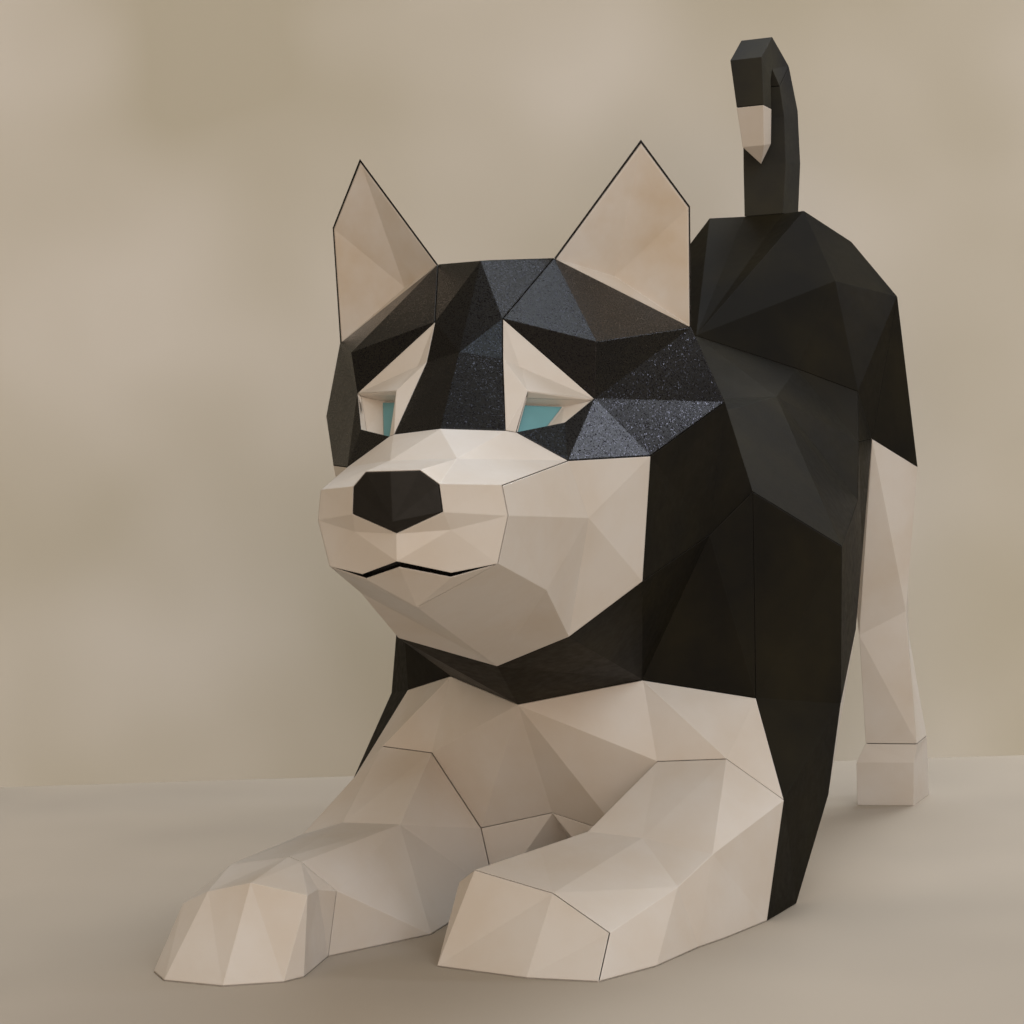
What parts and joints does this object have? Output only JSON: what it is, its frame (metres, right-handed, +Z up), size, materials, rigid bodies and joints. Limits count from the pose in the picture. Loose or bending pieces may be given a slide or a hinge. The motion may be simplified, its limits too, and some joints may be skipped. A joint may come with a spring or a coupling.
{
  "type": "papercraft dog",
  "caption": "Young husky in a play bow, folded and glued from faceted black and white card, with teal eyes and a curled tail.",
  "frame": {"origin": "middle of the floor under the dog: the bottom centre of its bounding box", "axes": "+Z up, -Y the way the dog faces, +X its left side"},
  "size_m": [0.1848, 0.4446, 0.338],
  "materials": {
    "white_card": "smooth off-white card with a faint pearly sheen",
    "black_card": "black card with a fine metallic sparkle",
    "teal_card": "smooth teal card"
  },
  "bodies": {
    "root": {"back": "black_card", "belly": "white_card", "bib": "black_card", "cheeks": "white_card", "chest": "white_card", "chin": "white_card", "crown": "black_card", "left_ear_back": "black_card", "left_ear_front": "white_card", "left_eye_patch": "white_card", "left_eye_tray": "white_card", "left_flank": "black_card", "left_foreleg": "white_card", "left_foreleg_sole": "white_card", "left_forepaw": "white_card", "left_hind_leg": "white_card", "left_hind_paw": "white_card", "left_iris": "teal_card", "left_mask": "black_card", "left_neck_side": "black_card", "left_shoulder": "black_card", "left_thigh": "black_card", "mouth_lining": "black_card", "muzzle": "white_card", "neck_top": "black_card", "nose": "black_card", "right_ear_back": "black_card", "right_ear_front": "white_card", "right_eye_patch": "white_card", "right_eye_tray": "white_card", "right_flank": "black_card", "right_foreleg": "white_card", "right_foreleg_sole": "white_card", "right_forepaw": "white_card", "right_forepaw_sole": "white_card", "right_hind_leg": "white_card", "right_hind_paw": "white_card", "right_iris": "teal_card", "right_mask": "black_card", "right_neck_side": "black_card", "right_shoulder": "black_card", "right_thigh": "black_card", "rump": "black_card", "tail_curl": "black_card", "tail_stem": "black_card", "tail_tip": "white_card"}
  },
  "joints": []
}
